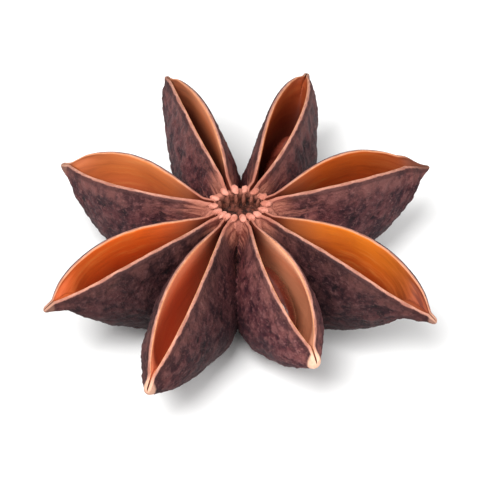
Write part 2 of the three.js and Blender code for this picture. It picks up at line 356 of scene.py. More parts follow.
def shift_at(carpel, radius):
    """How far the carpel's middle plane lies to the left of the line to its beak."""
    out = np.clip((radius - RING_RADIUS) / (carpel.reach - RING_RADIUS), 0, 1)
    leave = RING_RADIUS * math.sin(math.radians(carpel.root - carpel.azimuth)) * (1 - out)
    return leave + carpel.bow * np.sin(np.pi * out**0.7)


def neighbour_of(carpel, sign):
    """The next carpel on one side, 1 for its left."""
    return CARPELS[(CARPELS.index(carpel) + sign) % len(CARPELS)]


def room_at(carpel, radius, sign):
    """The half width that the belly may have on one side before it meets the neighbour there."""
    neighbour = neighbour_of(carpel, sign)
    own_heading = math.radians(carpel.azimuth) + np.arctan2(shift_at(carpel, radius), radius)
    next_heading = math.radians(neighbour.azimuth) + np.arctan2(shift_at(neighbour, radius), radius)
    turn = np.mod(sign * (next_heading - own_heading), 2 * np.pi)
    return radius * np.tan(turn / 2) + PRESS


def ring_radius(angle):
    """From the axis to the oval ring of beads, in a direction in degrees."""
    x, y = math.cos(math.radians(angle)), math.sin(math.radians(angle))
    return 1 / math.hypot(x / RING_OVAL[0], y / RING_OVAL[1])


def half_width(lip, belly, v):
    """Half the width at depth v, from 0 at the lip to 1 at the keel."""
    return lip * (1 - v) ** LIP_FADE + belly * hump(v, BELLY_AT, BELLY_POWER)


def stations(carpel):
    """How far out the cross-sections are, and how much each is shrunk to sharpen and end the beak."""
    knob_middle = carpel.reach - KNOB
    straight = np.linspace(ROOT_RADIUS, knob_middle, STATIONS)
    angle = np.linspace(0, KNOB_ARC * np.pi, KNOB_STATIONS + 1)[1:]
    radius = np.concatenate([straight, knob_middle + KNOB * np.sin(angle)])
    size = np.concatenate([np.ones(STATIONS), np.cos(angle)])
    swell = 1 + KNOB_SWELL * carpel.tip * bell(radius - knob_middle, KNOB_LENGTH)
    point = 1 - POINT * (1 - carpel.tip) * smooth(POINT_LENGTH, 0, carpel.reach - radius)
    return radius[:, None], (size * swell * point)[:, None]


def sections(carpel, radius):
    """What the cross-sections at these distances from the axis measure, as columns of numbers."""
    span = carpel.reach - RING_RADIUS
    out = np.clip((radius - RING_RADIUS) / span, 0, 1)
    ring = ring_radius(carpel.root) * math.cos(math.radians(carpel.root - carpel.azimuth))
    root_fall = ROOT_FALL * (1 - smooth(ring - RIB_INSET, ring, radius))
    top = RING_HEIGHT + carpel.arch * np.sin(np.pi * out**ARCH_POWER) - DROP * out - root_fall
    beak_foot = RING_HEIGHT - DROP - BEAK_DEPTH
    rise = (beak_foot - SOLE) * np.minimum(out / carpel.risen, 1) ** KEEL_RISE
    foot = SOLE + HEEL * (1 - out) ** HEEL_POWER + rise
    deep = top - foot

    growth = np.minimum(1, (radius - ROOT_RADIUS + BELLY_START) / BELLY_FULL) ** BELLY_GROWTH
    beak_belly = BEAK_HALF_WIDTH * BEAK_BELLY
    belly = beak_belly + (carpel.fullness - beak_belly) * (growth * (1 - out**BELLY_TAPER))

    opening = (out - carpel.shut) / (1 - carpel.shut - carpel.beak / span)
    gap = SLIT + (carpel.gape / 2 - SLIT) * hump(opening, carpel.gape_at, GAPE_POWER)
    spout = carpel.spout * np.clip((carpel.reach - radius) / carpel.beak, 0, 1)
    gap = np.where(out > carpel.gape_at, np.maximum(gap, spout), gap)
    gap = np.maximum(gap, SLIT + (SLIT_AT_RING - SLIT) * smooth(SLIT_CLOSES, 0.0, out))
    lip = LIP + (BEAK_HALF_WIDTH - SLIT - LIP) * smooth(LIP_NARROWS, 1, out)
    lip += (LIP_AT_RING - LIP) * smooth(LIP_SWELLS, 0.0, out)

    closes, beak_share = HOLLOW_CLOSES
    hollow = smooth(*HOLLOW_OPENS, out) * (1 - smooth(closes, 1 - beak_share * carpel.beak / span, out))
    hollow_deep = HOLLOW_LEAST + (deep - KEEL * (1 - KEEL_THINS * out) - HOLLOW_LEAST) * hollow
    cup = np.maximum(np.minimum(belly - WALL, CUP_SHARE * gap + carpel.cup), 0) * hollow
    shift = shift_at(carpel, radius)
    return SimpleNamespace(
        radius=radius, out=out, ring=ring, top=top, deep=deep, belly=belly, gap=gap, lip=lip,
        hollow_deep=hollow_deep, cup=cup, shift=shift,
    )


def outer_wall(carpel, at, sign):
    """One side's outer wall from lip to keel: how far to the left and how high its points are."""
    v = 1 - (1 - np.arange(OUTER_STEPS) / OUTER_STEPS) ** CROWDING
    outward, down = RIPPLE_WAVES
    wave = np.sin(outward * at.radius + down * v + sign * carpel.azimuth) * np.sin(np.pi * v)
    free = half_width(at.gap + at.lip, at.belly, v) + RIPPLE * (1 - at.out) * wave
    room = room_at(carpel, at.radius, sign)
    return at.shift + sign * eased(free, room), at.top - at.deep * v


def inner_wall(carpel, at, sign):
    """The same for the wall of the hollow."""
    v = 1 - (1 - np.arange(INNER_STEPS) / INNER_STEPS) ** CROWDING
    free = half_width(at.gap, at.cup, v)
    room = room_at(carpel, at.radius, sign) - WALL
    return at.shift + sign * eased(free, room), at.top - at.hollow_deep * v


def eased(free, room):
    """The half width of a wall that has so much room, and would have the given one if it were free."""
    return np.maximum((free + room - np.hypot(free - room, EASE)) / 2, SLIT)


def crown(carpel, at, sign):
    """The points over one side's lip."""
    across, up = np.array(LIP_SHARES).T
    from_share, lost = CREST_SINKS
    wobble = line_noise(at.radius, WOBBLE_SIZE, 3.1 * CARPELS.index(carpel) + sign)
    height = LIP_CREST * (1 + LIP_WOBBLE * wobble) * (1 - lost * smooth(from_share, 1, at.out))
    return at.shift + sign * (at.gap + at.lip - at.lip * across), at.top + height * up


def upward(part):
    """The same points in the other order."""
    return [side[:, ::-1] for side in part]


def carpel_loops(carpel):
    """The carpel's skin as a grid of points, one row for each cross-section, with its notes.

    A row runs down the left outer wall, up the right one, over the right lip, down and up the hollow,
    and over the left lip. x runs out from the axis, y to the left and z up.
    """
    radius, size = stations(carpel)
    at = sections(carpel, radius)
    left, right = 1, -1
    parts = [
        outer_wall(carpel, at, left),
        (at.shift, at.top - at.deep),
        upward(outer_wall(carpel, at, right)),
        crown(carpel, at, right),
        inner_wall(carpel, at, right),
        (at.shift, at.top - at.hollow_deep),
        upward(inner_wall(carpel, at, left)),
        upward(crown(carpel, at, left)),
    ]
    y, z = (np.concatenate(sides, 1) for sides in zip(*parts))
    middle = at.top - KNOB_MIDDLE * at.deep
    y = at.shift + (y - at.shift) * size
    z = middle + (z - middle) * size
    points = np.stack([np.broadcast_to(radius, y.shape), y, z], -1)

    rim = rim_distance(points)
    notes = carpel_notes(carpel, at, rim, np.sign(y - at.shift))
    points, notes["relief"] = wrinkled(points, rim, CARPELS.index(carpel))
    z = points[..., 2]
    points[..., 2] = (z + np.hypot(z, SOLE_ROUNDING)) / 2
    return points @ turn_matrix(carpel.azimuth), spread(notes, points)


def carpel_notes(carpel, at, rim, side):
    """The notes of a carpel's points: side is 1 on its left and -1 on its right."""
    depth = -rim / (2 * at.gap + MOUTH_EXTRA)
    near_shade = NEAR_SHADE * (1 + 0.5 * min(carpel.gloom, 0)) * smooth(*NEAR_DEPTHS, depth)
    far_shade = FAR_SHADE * smooth(*(limit - carpel.gloom for limit in FAR_DEPTHS), depth)
    narrow = smooth(*NARROW_GAP, 2 * at.gap) * smooth(*NARROW_OUT, at.out)
    pit_from, pit_full = PIT_EDGE
    end_from, end_full = (carpel.beak * (dark - less * carpel.tip) for dark, less in END_REACH)
    return {
        "radius": at.radius,
        "rim": rim,
        "strand": 7.0 * CARPELS.index(carpel) + 3.0 * side,
        "out": at.out,
        "dim": np.maximum(near_shade + far_shade, narrow),
        **{look: getattr(carpel, look) for look in ("skin", "lining", "red", "dust", "dusk", "tip")},
        "end": smooth(end_from, end_full, carpel.reach - at.radius),
        "pit": smooth(at.ring - pit_from, at.ring - pit_full, at.radius),
        "scar": 0.0,
        "bead": 0.0,
    }


def rim_distance(points):
    """How far each point is from the crest of its lip, round its cross-section: negative inside."""
    step = np.linalg.norm(np.diff(points, axis=1, append=points[:, :1]), axis=-1)
    along = np.cumsum(step, axis=1) - step
    total = along[:, -1:] + step[:, -1:]
    right_crest = 2 * OUTER_STEPS + 1 + CREST_STEP
    left_crest = points.shape[1] - 1 - CREST_STEP
    foot, hollow_foot = OUTER_STEPS, 2 * OUTER_STEPS + 1 + LIP_STEPS + INNER_STEPS
    number = np.arange(points.shape[1])[None, :]
    at_right = along[:, right_crest : right_crest + 1]
    at_left = along[:, left_crest : left_crest + 1]
    outer_left = np.where(number >= left_crest, along - at_left, along + total - at_left)
    inner = np.where(number <= hollow_foot, at_right - along, along - at_left)
    return np.where((number <= foot) | (number >= left_crest), outer_left, inner)


def wrinkled(points, rim, number):
    """The points with the skin's relief and the lining's swells, and how high each is in the relief."""
    along = np.gradient(points, axis=0)
    across = (np.roll(points, -1, axis=1) - np.roll(points, 1, axis=1)) / 2
    normal = np.cross(along, across)
    normal /= np.maximum(np.linalg.norm(normal, axis=-1, keepdims=True), 1e-9)

    shift = CARPEL_SHIFT * number
    ridges = 1 - RIDGE_FALL * np.abs(noise_field(points, FOLD_SIZE, 2, FOLD_STRETCH, shift))
    crease_noise = noise_field(points, 0.8 * FOLD_SIZE, 2, FOLD_STRETCH, shift + CREASE_SHIFT)
    creases = CREASE_RISE * np.abs(crease_noise) - CREASE_DEPTH
    folds = FOLD_SHARES[0] * ridges + FOLD_SHARES[1] * creases
    grains = noise_field(points, GRAIN_SIZE, 2, GRAIN_STRETCH, shift + GRAIN_SHIFT)
    dents = noise_field(points, DENT_SIZE, 1, DENT_STRETCH, shift + DENT_SHIFT)
    swells = noise_field(points, LINING_SIZE, 1, SWELL_STRETCH, shift + SWELL_SHIFT)

    skin = smooth(*WRINKLES_FROM, rim)
    lining = smooth(*SWELLS_FROM, -rim)
    end = smooth(0, SMOOTH_END, points[-1, 0, 0] - points[..., 0])
    inward = smooth(*RIB_REACH, points[..., 0])
    strands = np.stack([RIB_STRETCH * points[..., 0], rim, np.full_like(rim, STRAND_SHIFT * number)], -1)
    ribs = inward * noise_field(strands, RIB_SIZE, 2)
    relief = (0.65 * folds + 0.5 * grains) * (1 - 0.6 * inward) * skin + 1.3 * ribs
    height = skin * end * (FOLDS * (folds - FOLD_LEVEL) + GRAINS * grains + DENTS * dents + RIBS * ribs)
    height += lining * end * LINING_SWELL * swells
    return points + normal * height[..., None], relief


# ---- The form of the column and of what stands on it ----


def bead_loops(carpel, sign, half, inset, height, notes):
    """A bead or rib at the inner end of a lip, as a grid of points from its inner end to its outer one.

    It lies a quarter of the way from the carpel's root to its neighbour's, so that all are evenly spread.
    """
    aside = sign * ((sign * (neighbour_of(carpel, sign).root - carpel.root)) % 360) / 4
    direction = math.radians(carpel.root + aside - carpel.azimuth)
    ring = ring_radius(carpel.root + aside) - inset
    where = Vector((0.7 * carpel.azimuth, sign, height))
    uneven = 1 + UNEVEN * np.array(noise.noise_vector(where))
    polar = np.linspace(0, np.pi, BEAD_ROWS + 2)[1:-1, None]
    turn = np.linspace(0, 2 * np.pi, BEAD_TURNS, endpoint=False)[None, :]
    x = -np.cos(polar) * np.ones_like(turn)
    points = np.stack([x, np.sin(polar) * np.cos(turn), -np.sin(polar) * np.sin(turn)], -1) * half * uneven
    points += BEAD_BUMPS * noise_field(points, BEAD_BUMP_SIZE, 2, 1.0, where[0])[..., None] * (1, 0.5, 1)
    points = points @ np.array(Matrix.Rotation(direction, 3, "Z")).T
    points += (ring * math.cos(direction), ring * math.sin(direction), height)
    return points @ turn_matrix(carpel.azimuth), spread({**notes, "radius": points[..., 0]}, points)


def ring_grids():
    """All the beads and ribs, with their notes."""
    noise.seed_set(UNEVEN_SEED)
    bead = {**CORE_NOTES, "bead": 1.0}
    rib = {**CORE_NOTES, "bead": 0.3, "pit": 0.45}
    grids = []
    for carpel in CARPELS:
        for sign in (1, -1):
            grids.append(bead_loops(carpel, sign, BEAD, 0, RING_HEIGHT + BEAD_RISE, bead))
            grids.append(bead_loops(carpel, sign, RIB, RIB_INSET, RIM_HEIGHT - RIB_SINK, rib))
    return grids


def column_profile():
    """Radius and height of points down the column, from the middle of the pit to the stalk's scar."""
    corners = [
        (0, PIT_HEIGHT - 0.2),
        (RIM_RADIUS - 0.5, PIT_HEIGHT - 0.1),
        (RIM_RADIUS - 0.3, RIM_HEIGHT - 0.3),
        (RIM_RADIUS - 0.1, RIM_HEIGHT + RIM_SWELL),
        (RIM_RADIUS + 0.4, RIM_HEIGHT + RIM_SWELL),
        (COLUMN_RADIUS + 0.3, RIM_HEIGHT - 0.5),
        (COLUMN_RADIUS, RIM_HEIGHT - 1.6),
        (COLUMN_RADIUS, COLUMN_FOOT * 1.6),
        (STALK_RADIUS + STALK_FLARE, COLUMN_FOOT),
        (STALK_RADIUS, COLUMN_FOOT * 0.5),
        (STALK_RADIUS, 0.12),
        (STALK_RADIUS - 0.15, 0),
        (0, 0.1),
    ]
    points = []
    for start, end in zip(corners, corners[1:]):
        steps = max(2, round(math.dist(start, end) / COLUMN_STEP))
        points += [np.array(start) + (np.array(end) - start) * i / steps for i in range(steps)]
    profile = np.array(points + [corners[-1]], dtype=float)
    for _ in range(3):
        profile[1:-1] = (profile[:-2] + 2 * profile[1:-1] + profile[2:]) / 4
    return profile


def column_loops():
    """The column's skin as a grid of points, one row for each step down its profile, with its notes."""
    profile = column_profile()[1:-1]
    angle = np.linspace(0, 2 * np.pi, TURNS, endpoint=False)
    radius, height = profile[:, :1], profile[:, 1:]
    oval = smooth(*(RIM_HEIGHT - depth for depth in OVAL_DEPTHS), height)
    along_x, along_y = (radius * (1 + (half / RIM_RADIUS - 1) * oval) for half in RING_OVAL)
    heights = np.broadcast_to(height, (len(profile), TURNS))
    points = np.stack([along_x * np.cos(angle), along_y * np.sin(angle), heights], -1)

    in_rim = smooth(RIM_RADIUS - 0.1, RIM_RADIUS - 0.25, radius)
    pit = in_rim * smooth(PIT_HEIGHT - 1, PIT_HEIGHT - 0.6, height)
    scar = smooth(0.35, 0.1, height)
    bumps = noise_field(points, BUMP_SIZE, 2, 1.0, COLUMN_SHIFT)
    rough = noise_field(points, ROUGH_SIZE, 2, 1.0, COLUMN_FINE_SHIFT)
    points[..., 2] += pit * (PIT_BUMPS * bumps + PIT_ROUGH * rough) + scar * SCAR_BUMPS * (0.5 + bumps)
    swell = (1 - pit) * (1 - scar) * (SIDE_BUMPS * bumps + SIDE_ROUGH * rough)
    points[..., 0] += swell * np.cos(angle)
    points[..., 1] += swell * np.sin(angle)
    points[..., 2] = np.maximum(points[..., 2], 0)

    seam = math.radians(61)  # the direction, under a root, in which the streaks of both sides meet
    notes = {
        **CORE_NOTES,
        "radius": radius,
        "rim": 2.3 - 1.2 * smooth(RIM_HEIGHT - 2.2, RIM_HEIGHT - 0.2, height),
        "strand": 70 + 2.6 * np.abs(np.mod(angle - seam, 2 * np.pi) - np.pi),
        "bead": 0.55 * smooth(RIM_HEIGHT - 0.6, RIM_HEIGHT, height),
        "pit": pit,
        "scar": scar,
        "relief": 0.5 * bumps,
    }
    return points, spread(notes, points)


# ---- Meshes ----


def add_object(name, points, faces, collection):
    """A mesh object of points in millimetres."""
    mesh = bpy.data.meshes.new(name)
    mesh.from_pydata((points.reshape(-1, 3) * MM).tolist(), [], faces)
    mesh.update()
    thing = bpy.data.objects.new(name, mesh)
    collection.objects.link(thing)
    return thing


def shade_smooth(piece):
    polygons = piece.data.polygons
    polygons.foreach_set("use_smooth", [True] * len(polygons))


def set_note(mesh, name, values):
    attribute = mesh.attributes.new(name, "FLOAT", "POINT")
    attribute.data.foreach_set("value", values)


def loft_faces(rows, size, flip=False):
    """Quads between rows of points that close on themselves, with a face over each end."""
    start = np.arange(rows - 1)[:, None] * size + np.arange(size)
    onward = np.arange(rows - 1)[:, None] * size + (np.arange(size) + 1) % size
    quads = np.stack([start, start + size, onward + size, onward], -1).reshape(-1, 4)
    ends = [list(range(size)), list(range((rows - 1) * size, rows * size))[::-1]]
    faces = quads.tolist() + ends
    return [face[::-1] for face in faces] if flip else faces


def joined(target, others):
    """The mesh of the union of the target and the other objects."""
    group = bpy.data.collections.new("union")
    for other in others:
        group.objects.link(other)
    union = target.modifiers.new("union", "BOOLEAN")
    union.operation = "UNION"
    union.operand_type = "COLLECTION"
    union.solver = "MANIFOLD"
    union.collection = group
    mesh = bpy.data.meshes.new_from_object(target.evaluated_get(bpy.context.evaluated_depsgraph_get()))
    for part in [target, *others]:
        bpy.data.objects.remove(part)
    bpy.data.collections.remove(group)
    return mesh


def outer_skin(mesh):
    """The largest shell of the mesh, so that the pockets between touching bellies are filled."""
    leader = list(range(len(mesh.vertices)))

    def find(i):
        while leader[i] != i:
            leader[i] = leader[leader[i]]
            i = leader[i]
        return i

    for edge in mesh.edges:
        a, b = (find(i) for i in edge.vertices)
        leader[a] = b
    groups = np.array([find(i) for i in range(len(leader))])
    largest = np.bincount(groups).argmax()
    kept = np.flatnonzero(groups == largest)
    number = np.full(len(groups), -1)
    number[kept] = np.arange(len(kept))
    points = np.empty(3 * len(groups))
    mesh.vertices.foreach_get("co", points)
    points = points.reshape(-1, 3)[kept]
    shell = (face.vertices for face in mesh.polygons if groups[face.vertices[0]] == largest)
    faces = [[int(number[i]) for i in corners] for corners in shell]
    return points / MM, faces


def copy_notes(mesh, points, sources):
    """Gives each point of the mesh the notes of the nearest point of the parts it was joined from."""
    places = np.concatenate([grid.reshape(-1, 3) for grid, _ in sources])
    tree = KDTree(len(places))
    for i, place in enumerate(places):
        tree.insert(place, i)
    tree.balance()
    nearest = [tree.find(point)[1] for point in points]
    for name in [*CORE_NOTES, "radius"]:
        set_note(mesh, name, np.concatenate([notes[name].ravel() for _, notes in sources])[nearest])


def pod_piece(collection):
    """The pod's skin, one closed mesh."""
    column = column_loops()
    grids = [carpel_loops(carpel) for carpel in CARPELS] + ring_grids()
    things = [add_object("part", grid, loft_faces(*grid.shape[:2]), collection) for grid, _ in grids]
    middle = add_object("column", column[0], loft_faces(*column[0].shape[:2]), collection)
    points, faces = outer_skin(joined(middle, things))
    piece = add_object("pod_skin", points, faces, collection)
    copy_notes(piece.data, points, [*grids, column])
    shade_smooth(piece)
    return piece


def seed_piece(name, node, turn, lean, collection):
    """A seed in the place of its CAD solid: a flattened bean, blunt and notched where it hung."""
    low, high = (np.array(corner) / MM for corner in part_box(node))
    middle = (low + high) / 2
    half = np.array([SEED_LENGTH, SEED_THICKNESS, SEED_HEIGHT]) / 2
    polar = np.linspace(0, np.pi, SEED_ROWS + 2)[1:-1, None]
    angle = np.linspace(0, 2 * np.pi, SEED_TURNS, endpoint=False)[None, :]
    x = -np.cos(polar) * np.ones_like(angle)
    ring = np.sin(polar) ** SEED_BLUNTNESS * (1 - SEED_TAPER * x)
    y = ring * np.sign(np.cos(angle)) * np.abs(np.cos(angle)) ** SEED_SIDES
    z = ring * np.sin(angle)
    notch = bell(np.hypot(y, z), NOTCH_WIDTH) * (x < -0.5)
    points = np.stack([x + NOTCH * notch, y, z], -1) * half
    points[..., 2] += SEED_CURVE * points[..., 0] ** 2 / half[0] ** 2
    points += SEED_BUMPS * noise_field(points, SEED_BUMP_SIZE, 2, 1.0, turn)[..., None]
    tilted = Matrix.Rotation(turn, 3, "Z") @ Matrix.Rotation(-lean, 3, "X")
    place = points @ np.array(tilted).T + middle
    piece = add_object(name, place, loft_faces(SEED_ROWS, SEED_TURNS, flip=True), collection)
    set_note(piece.data, "hilum", (notch > HILUM_FROM).astype(float).ravel())
    shade_smooth(piece)
    return piece


# ---- Materials ----

# The dry skin
BLOOM, BROWN = (0.021, 0.004, 0.008), (0.072, 0.0195, 0.022)  # its dark purple and its lighter mottles
# painted shade in the wrinkles' folds, and painted highlight on their ridges
FOLD_SHADE, RIDGE_HIGHLIGHT = (0.009, 0.002, 0.004), (0.138, 0.051, 0.05)
PORE, GRAIN = (0.012, 0.003, 0.005), (0.148, 0.06, 0.06)
SPECK = (0.3, 0.15, 0.128)
RED_TINT = (1.3, 0.6, 0.58)  # what its colour is multiplied by near the ring
FURROW, STREAK = (0.03, 0.006, 0.005), (0.3, 0.098, 0.072)  # along the ribs near the ring
FLESH_DARK, FLESH_LIGHT, FLESH_BEAD = (0.15, 0.034, 0.024), (0.4, 0.142, 0.095), (0.54, 0.205, 0.142)
WARM = (0.19, 0.07, 0.059)  # under the lips
LOW_FLANK_SHADE = (0.015, 0.004, 0.008)  # painted shade far down the flanks
LIP_EDGE_SHADOW = (0.03, 0.009, 0.009)  # painted shadow: the dark line along a lip's outer edge

# The lining
# the orange, a darker orange that paints shade deeper down, and red
ORANGE, SHADED_ORANGE, RED = (0.73, 0.19, 0.016), (0.5, 0.078, 0.01), (0.74, 0.078, 0.015)
FIBRE_LIGHT, FIBRE_DARK = (0.84, 0.32, 0.07), (0.33, 0.05, 0.01)
CLOUD = (0.56, 0.115, 0.022)
DULL = (0.09, 0.012, 0.006)
# the peach tint, and a darker peach that paints shade deeper down
PEACH, SHADED_PEACH = (1.0, 0.53, 0.33), (0.98, 0.4, 0.21)
DUSK_DARK, DUSK_LIGHT = (0.13, 0.022, 0.008), (0.27, 0.055, 0.018)
BEAK_LINING = (0.11, 0.034, 0.019)
RING_SHADE_TAN, RING_SHADE_BROWN = (0.4, 0.13, 0.075), (0.15, 0.03, 0.014)  # painted shade in the closing slit, towards the ring and close to it
DIM = (0.075, 0.011, 0.006)

# The lips and beaks
LIP_DARK, LIP_LIGHT, LIP_NEAR_RING = (0.33, 0.13, 0.092), (0.52, 0.245, 0.18), (0.4, 0.13, 0.085)
TAN = (0.64, 0.27, 0.12)  # the lips' sides towards the hollow
PEARL_DARK, PEARL_LIGHT = (0.43, 0.14, 0.092), (0.64, 0.26, 0.19)  # the beads
HORN_DARK, HORN_LIGHT, HORN_PALE = (0.15, 0.058, 0.04), (0.27, 0.115, 0.08), (0.8, 0.46, 0.32)

# The sunken centre and the stalk's scar
PIT_DARK, PIT_LIGHT = (0.018, 0.005, 0.003), (0.18, 0.048, 0.03)
SCAR_DARK, SCAR_LIGHT = (0.17, 0.07, 0.04), (0.42, 0.21, 0.11)

# The seeds
COAT_DARK, COAT_LIGHT, COAT_FLECK = (0.085, 0.014, 0.009), (0.2, 0.04, 0.024), (0.38, 0.12, 0.08)
HILUM = (0.45, 0.27, 0.15)  # the pale scar at the end where a seed hung

FLOOR_DARK, FLOOR_LIGHT = (0.86, 0.86, 0.855), (0.88, 0.88, 0.875)


class Shader:
    """One material's nodes. Every method takes numbers, colours or sockets and returns a socket."""

    def __init__(self, name):
        self.material = bpy.data.materials.new(name)
        self.material.use_nodes = True
        self.tree = self.material.node_tree
        self.tree.nodes.clear()

    def node(self, kind, inputs, output=0, **settings):
        made = self.tree.nodes.new("ShaderNode" + kind)
        for key, value in settings.items():
            setattr(made, key, value)
        for key, value in inputs.items():
            if isinstance(value, bpy.types.NodeSocket):
                self.tree.links.new(value, made.inputs[key])
            elif isinstance(value, tuple) and len(value) == 3 and made.inputs[key].type == "RGBA":
                made.inputs[key].default_value = (*value, 1)
            else:
                made.inputs[key].default_value = value
        return made.outputs[output] if made.outputs else made

    def place(self):
        """The position on the object in millimetres."""
        position = self.node("TexCoord", {}, "Object")
        return self.node("VectorMath", {0: position, "Scale": 1 / MM}, operation="SCALE")

    def note(self, name):
        """A value that the mesh keeps for each of its points."""
        return self.node("Attribute", {}, "Fac", attribute_name=name)

    def noise(self, where, size, detail=3.0, roughness=0.55, stretch=(1, 1, 1)):
        """Noise from 0 to 1 with features of the given size in millimetres."""
        scale = tuple(s / size for s in stretch)
        scaled = self.node("VectorMath", {0: where, 1: scale}, operation="MULTIPLY")
        inputs = {"Vector": scaled, "Scale": 1.0, "Detail": detail, "Roughness": roughness}
        return self.node("TexNoise", inputs)

    def step(self, value, low, high, to_low=0.0, to_high=1.0):
        """An S-curve from to_low, where the value is low, to to_high."""
        ends = {"Value": value, "From Min": low, "From Max": high, "To Min": to_low, "To Max": to_high}
        return self.node("MapRange", ends, interpolation_type="SMOOTHSTEP")

    def maths(self, operation, a, b):
        return self.node("Math", {0: a, 1: b}, operation=operation)

    def times(self, a, b):
        return self.maths("MULTIPLY", a, b)

    def mix(self, share, a, b, blend="MIX"):
        """Colour a, turning into colour b as the share goes from 0 to 1."""
        return self.node("Mix", {0: share, 6: a, 7: b}, 2, data_type="RGBA", blend_type=blend)

    def layer(self, under, over, value, low, high, most=1.0):
        """A colour over another one, from nothing of it, where the value is low, to the most."""
        return self.mix(self.step(value, low, high, 0.0, most), under, over)

    def between(self, share, a, b):
        """Number a, turning into number b as the share goes from 0 to 1."""
        return self.node("Mix", {0: share, 2: a, 3: b}, data_type="FLOAT")

    def bump(self, height, depth, normal=None):
        """A normal bent by the height, whose range of 0 to 1 stands for the depth in millimetres."""
        inputs = {"Strength": 1.0, "Distance": depth * MM, "Height": height}
        if normal:
            inputs["Normal"] = normal
        return self.node("Bump", inputs)

    def finish(self, colour, roughness, normal, **constants):
        inputs = {"Base Color": colour, "Roughness": roughness, "Normal": normal, **constants}
        surface = self.node("BsdfPrincipled", inputs)
        self.node("OutputMaterial", {"Surface": surface})
        return self.material


def pod_fields(shader):
    """The notes and noises that the pod's colours and bumps are made of."""
    at = SimpleNamespace(**{name: shader.note(name) for name in [*CORE_NOTES, "radius"]})
    place = shader.place()
    strand = shader.node("CombineXYZ", {0: at.radius, 1: at.rim, 2: at.strand})
    at.mottle = shader.noise(place, 1.5, 5.0, 0.65)
    at.grain = shader.noise(place, 0.42, 4.0, 0.62)
    at.speck = shader.noise(place, 0.24, 3.0, 0.5, (0.8, 0.8, 1.2))
    at.cloud = shader.noise(place, 2.6, 3.0)
    at.edge = shader.noise(place, 1.1, 4.0, 0.6)
    at.streak = shader.noise(strand, 0.42, 3.0, 0.6, (0.13, 1, 1))
    at.fibre = shader.noise(strand, 0.55, 4.0, 0.6, (0.14, 1, 1))
    return at


def skin_colour(shader, at):
    """The dry skin: brown with a purple bloom, mottled, with painted highlights on its ridges and painted
    shade in its folds.
    """
    layer, mix, step, times = shader.layer, shader.mix, shader.step, shader.times
    skin = layer(BLOOM, BROWN, at.mottle, 0.38, 0.62)
    # Painted shade in the folds and painted highlights on the ridges of the wrinkles
    skin = layer(skin, FOLD_SHADE, at.relief, 0.1, -0.35)
    skin = layer(skin, RIDGE_HIGHLIGHT, at.relief, 0.25, 0.8, 0.6)
    skin = layer(skin, GRAIN, at.grain, 0.52, 0.68, 0.6)
    skin = layer(skin, PORE, at.grain, 0.46, 0.32, 0.6)
    skin = layer(skin, SPECK, at.speck, 0.60, 0.72, 0.3)
    skin = mix(step(at.radius, 11.0, 4.5, 0.0, 0.4), skin, RED_TINT, "MULTIPLY")

    # Streaks and furrows along the ribs near the ring
    inward = step(at.radius, *RIB_REACH)
    streaks = times(step(at.streak, 0.5, 0.62), inward)
    skin = mix(times(streaks, 0.8), skin, STREAK)
    furrows = times(step(at.streak, 0.47, 0.36), inward)
    skin = mix(times(furrows, 0.7), skin, FURROW)

    # From the lip down: a dark line of painted shadow, a warm band, and painted shade far down
    warm = times(step(at.rim, 2.8, 0.5), step(at.mottle, 0.4, 0.6, 0.15, 0.6))
    skin = mix(warm, skin, WARM)
    skin = layer(skin, LOW_FLANK_SHADE, at.rim, 3.0, 8.0, 0.5)
    # The carpel's skin value lightens or darkens it all, partly as painted shade
    shade = step(at.skin, 0.0, 1.0, 0.5, 1.5)
    skin = shader.node("VectorMath", {0: skin, "Scale": shade}, operation="SCALE")
    # Painted shadow along the lip's outer edge
    skin = layer(skin, LIP_EDGE_SHADOW, at.rim, 0.75, 0.5, 0.55)

    # The paler, fleshy ends of the lips and the beads
    flesh = layer(FLESH_DARK, FLESH_LIGHT, at.streak, 0.4, 0.6)
    flesh = mix(times(at.bead, 0.6), flesh, FLESH_BEAD)
    fleshy = times(step(at.radius, 5.0, 3.0), step(at.rim, 2.6, 1.2))
    return mix(fleshy, skin, flesh)


def lining_colour(shader, at):
    """The lining: bright orange high on the walls, with painted shade that makes it red-brown deep down
    and towards the ring.
    """
    layer, mix, step, times = shader.layer, shader.mix, shader.step, shader.times
    depth = times(at.rim, -1.0)
    # Painted shade: the orange darkens deeper down the walls
    lining = layer(ORANGE, SHADED_ORANGE, depth, 1.0, 4.6)
    lining = mix(at.red, lining, RED)
    lining = layer(lining, FIBRE_LIGHT, at.fibre, 0.5, 0.72, 0.35)
    lining = layer(lining, FIBRE_DARK, at.fibre, 0.46, 0.3, 0.3)
    lining = layer(lining, CLOUD, at.cloud, 0.5, 0.7, 0.3)
    lining = layer(lining, DULL, at.lining, 1.0, 0.0, 0.95)
    # Peach, with painted shade deeper down
    peach = layer(PEACH, SHADED_PEACH, depth, 0.5, 2.2)
    lining = mix(times(at.dust, 0.75), lining, peach)

    # Darker towards the beak, and painted shade towards the ring and far down
    brown = layer(DUSK_DARK, DUSK_LIGHT, at.fibre, 0.4, 0.6)
    lining = mix(times(step(at.out, 0.52, 0.9), at.dusk), lining, brown)
    lining = mix(times(at.end, 0.85), lining, BEAK_LINING)
    # Painted shade in the slit that closes towards the ring
    lining = layer(lining, RING_SHADE_TAN, at.out, 0.42, 0.12, 0.5)
    lining = layer(lining, RING_SHADE_BROWN, at.out, 0.32, 0.05, 0.85)
    return mix(times(at.dim, 0.88), lining, DIM)


